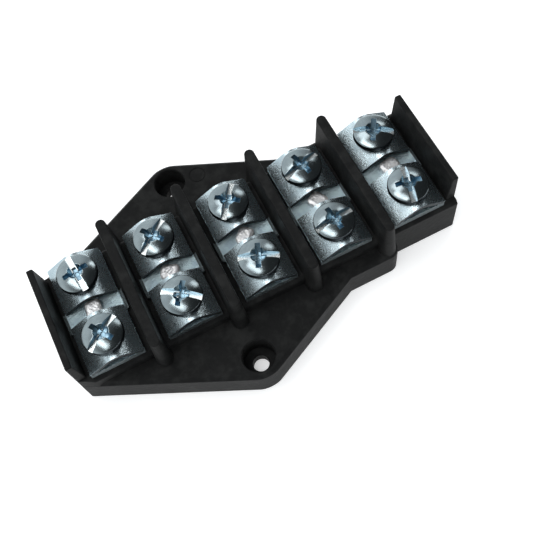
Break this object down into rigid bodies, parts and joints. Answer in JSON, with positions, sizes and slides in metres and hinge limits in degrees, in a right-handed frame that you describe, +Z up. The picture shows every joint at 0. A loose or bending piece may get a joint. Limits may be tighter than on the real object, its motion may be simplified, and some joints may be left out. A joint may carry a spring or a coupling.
{
  "type": "barrier terminal strip",
  "caption": "Moulded barrier terminal strip on a flat base with two fixing holes; each pole has a plated bar, a rivet, and roof-shaped clamp plates held by slotted cross-head screws.",
  "frame": {"origin": "middle of the bounding box, on the underside of the base", "axes": "+X along the row of poles, +Y across the strip towards the back row of screws, +Z up from the surface it is fixed to"},
  "size_m": [0.0808, 0.0516, 0.0172],
  "materials": {
    "moulding": "semi-matt moulded black",
    "bar_plating": "zinc plated, slightly grainy",
    "rivet_metal": "hammered",
    "clamp_plating": "blue zinc plated",
    "screw_plating": "bright zinc plated"
  },
  "bodies": {
    "base": {"base": "moulding", "terminal_bar_1": "bar_plating", "terminal_bar_2": "bar_plating", "terminal_bar_3": "bar_plating", "terminal_bar_4": "bar_plating", "terminal_bar_5": "bar_plating", "bar_rivet_1": "rivet_metal", "bar_rivet_2": "rivet_metal", "bar_rivet_3": "rivet_metal", "bar_rivet_4": "rivet_metal", "bar_rivet_5": "rivet_metal"},
    "front_clamp_1": {"front_clamp_plate_1": "clamp_plating"},
    "front_screw_body_1": {"front_screw_1": "screw_plating"},
    "front_clamp_2": {"front_clamp_plate_2": "clamp_plating"},
    "front_screw_body_2": {"front_screw_2": "screw_plating"},
    "front_clamp_3": {"front_clamp_plate_3": "clamp_plating"},
    "front_screw_body_3": {"front_screw_3": "screw_plating"},
    "front_clamp_4": {"front_clamp_plate_4": "clamp_plating"},
    "front_screw_body_4": {"front_screw_4": "screw_plating"},
    "front_clamp_5": {"front_clamp_plate_5": "clamp_plating"},
    "front_screw_body_5": {"front_screw_5": "screw_plating"},
    "back_clamp_1": {"back_clamp_plate_1": "clamp_plating"},
    "back_screw_body_1": {"back_screw_1": "screw_plating"},
    "back_clamp_2": {"back_clamp_plate_2": "clamp_plating"},
    "back_screw_body_2": {"back_screw_2": "screw_plating"},
    "back_clamp_3": {"back_clamp_plate_3": "clamp_plating"},
    "back_screw_body_3": {"back_screw_3": "screw_plating"},
    "back_clamp_4": {"back_clamp_plate_4": "clamp_plating"},
    "back_screw_body_4": {"back_screw_4": "screw_plating"},
    "back_clamp_5": {"back_clamp_plate_5": "clamp_plating"},
    "back_screw_body_5": {"back_screw_5": "screw_plating"}
  },
  "joints": [
    {"name": "front_clamp_lift_1", "type": "slide", "parent": "base", "child": "front_clamp_1", "axis": [0, 0, 1], "range_m": [0, 0.004]},
    {"name": "front_screw_turn_1", "type": "hinge", "parent": "front_clamp_1", "child": "front_screw_body_1", "pos_m": [-0.032, -0.0068, 0.0148], "axis": [0, 0, 1], "range_deg": [0, 2058]},
    {"name": "front_clamp_lift_2", "type": "slide", "parent": "base", "child": "front_clamp_2", "axis": [0, 0, 1], "range_m": [0, 0.004]},
    {"name": "front_screw_turn_2", "type": "hinge", "parent": "front_clamp_2", "child": "front_screw_body_2", "pos_m": [-0.016, -0.0068, 0.0148], "axis": [0, 0, 1], "range_deg": [0, 2058]},
    {"name": "front_clamp_lift_3", "type": "slide", "parent": "base", "child": "front_clamp_3", "axis": [0, 0, 1], "range_m": [0, 0.004]},
    {"name": "front_screw_turn_3", "type": "hinge", "parent": "front_clamp_3", "child": "front_screw_body_3", "pos_m": [0, -0.0068, 0.0148], "axis": [0, 0, 1], "range_deg": [0, 2058]},
    {"name": "front_clamp_lift_4", "type": "slide", "parent": "base", "child": "front_clamp_4", "axis": [0, 0, 1], "range_m": [0, 0.004]},
    {"name": "front_screw_turn_4", "type": "hinge", "parent": "front_clamp_4", "child": "front_screw_body_4", "pos_m": [0.016, -0.0068, 0.0148], "axis": [0, 0, 1], "range_deg": [0, 2058]},
    {"name": "front_clamp_lift_5", "type": "slide", "parent": "base", "child": "front_clamp_5", "axis": [0, 0, 1], "range_m": [0, 0.004]},
    {"name": "front_screw_turn_5", "type": "hinge", "parent": "front_clamp_5", "child": "front_screw_body_5", "pos_m": [0.032, -0.0068, 0.0148], "axis": [0, 0, 1], "range_deg": [0, 2058]},
    {"name": "back_clamp_lift_1", "type": "slide", "parent": "base", "child": "back_clamp_1", "axis": [0, 0, 1], "range_m": [0, 0.004]},
    {"name": "back_screw_turn_1", "type": "hinge", "parent": "back_clamp_1", "child": "back_screw_body_1", "pos_m": [-0.032, 0.0068, 0.0148], "axis": [0, 0, 1], "range_deg": [0, 2058]},
    {"name": "back_clamp_lift_2", "type": "slide", "parent": "base", "child": "back_clamp_2", "axis": [0, 0, 1], "range_m": [0, 0.004]},
    {"name": "back_screw_turn_2", "type": "hinge", "parent": "back_clamp_2", "child": "back_screw_body_2", "pos_m": [-0.016, 0.0068, 0.0148], "axis": [0, 0, 1], "range_deg": [0, 2058]},
    {"name": "back_clamp_lift_3", "type": "slide", "parent": "base", "child": "back_clamp_3", "axis": [0, 0, 1], "range_m": [0, 0.004]},
    {"name": "back_screw_turn_3", "type": "hinge", "parent": "back_clamp_3", "child": "back_screw_body_3", "pos_m": [0, 0.0068, 0.0148], "axis": [0, 0, 1], "range_deg": [0, 2058]},
    {"name": "back_clamp_lift_4", "type": "slide", "parent": "base", "child": "back_clamp_4", "axis": [0, 0, 1], "range_m": [0, 0.004]},
    {"name": "back_screw_turn_4", "type": "hinge", "parent": "back_clamp_4", "child": "back_screw_body_4", "pos_m": [0.016, 0.0068, 0.0148], "axis": [0, 0, 1], "range_deg": [0, 2058]},
    {"name": "back_clamp_lift_5", "type": "slide", "parent": "base", "child": "back_clamp_5", "axis": [0, 0, 1], "range_m": [0, 0.004]},
    {"name": "back_screw_turn_5", "type": "hinge", "parent": "back_clamp_5", "child": "back_screw_body_5", "pos_m": [0.032, 0.0068, 0.0148], "axis": [0, 0, 1], "range_deg": [0, 2058]}
  ],
  "couplings": [
    {"joint": "front_screw_turn_1", "follows": "front_clamp_lift_1", "rad_per_m": 8976},
    {"joint": "front_screw_turn_2", "follows": "front_clamp_lift_2", "rad_per_m": 8976},
    {"joint": "front_screw_turn_3", "follows": "front_clamp_lift_3", "rad_per_m": 8976},
    {"joint": "front_screw_turn_4", "follows": "front_clamp_lift_4", "rad_per_m": 8976},
    {"joint": "front_screw_turn_5", "follows": "front_clamp_lift_5", "rad_per_m": 8976},
    {"joint": "back_screw_turn_1", "follows": "back_clamp_lift_1", "rad_per_m": 8976},
    {"joint": "back_screw_turn_2", "follows": "back_clamp_lift_2", "rad_per_m": 8976},
    {"joint": "back_screw_turn_3", "follows": "back_clamp_lift_3", "rad_per_m": 8976},
    {"joint": "back_screw_turn_4", "follows": "back_clamp_lift_4", "rad_per_m": 8976},
    {"joint": "back_screw_turn_5", "follows": "back_clamp_lift_5", "rad_per_m": 8976}
  ]
}
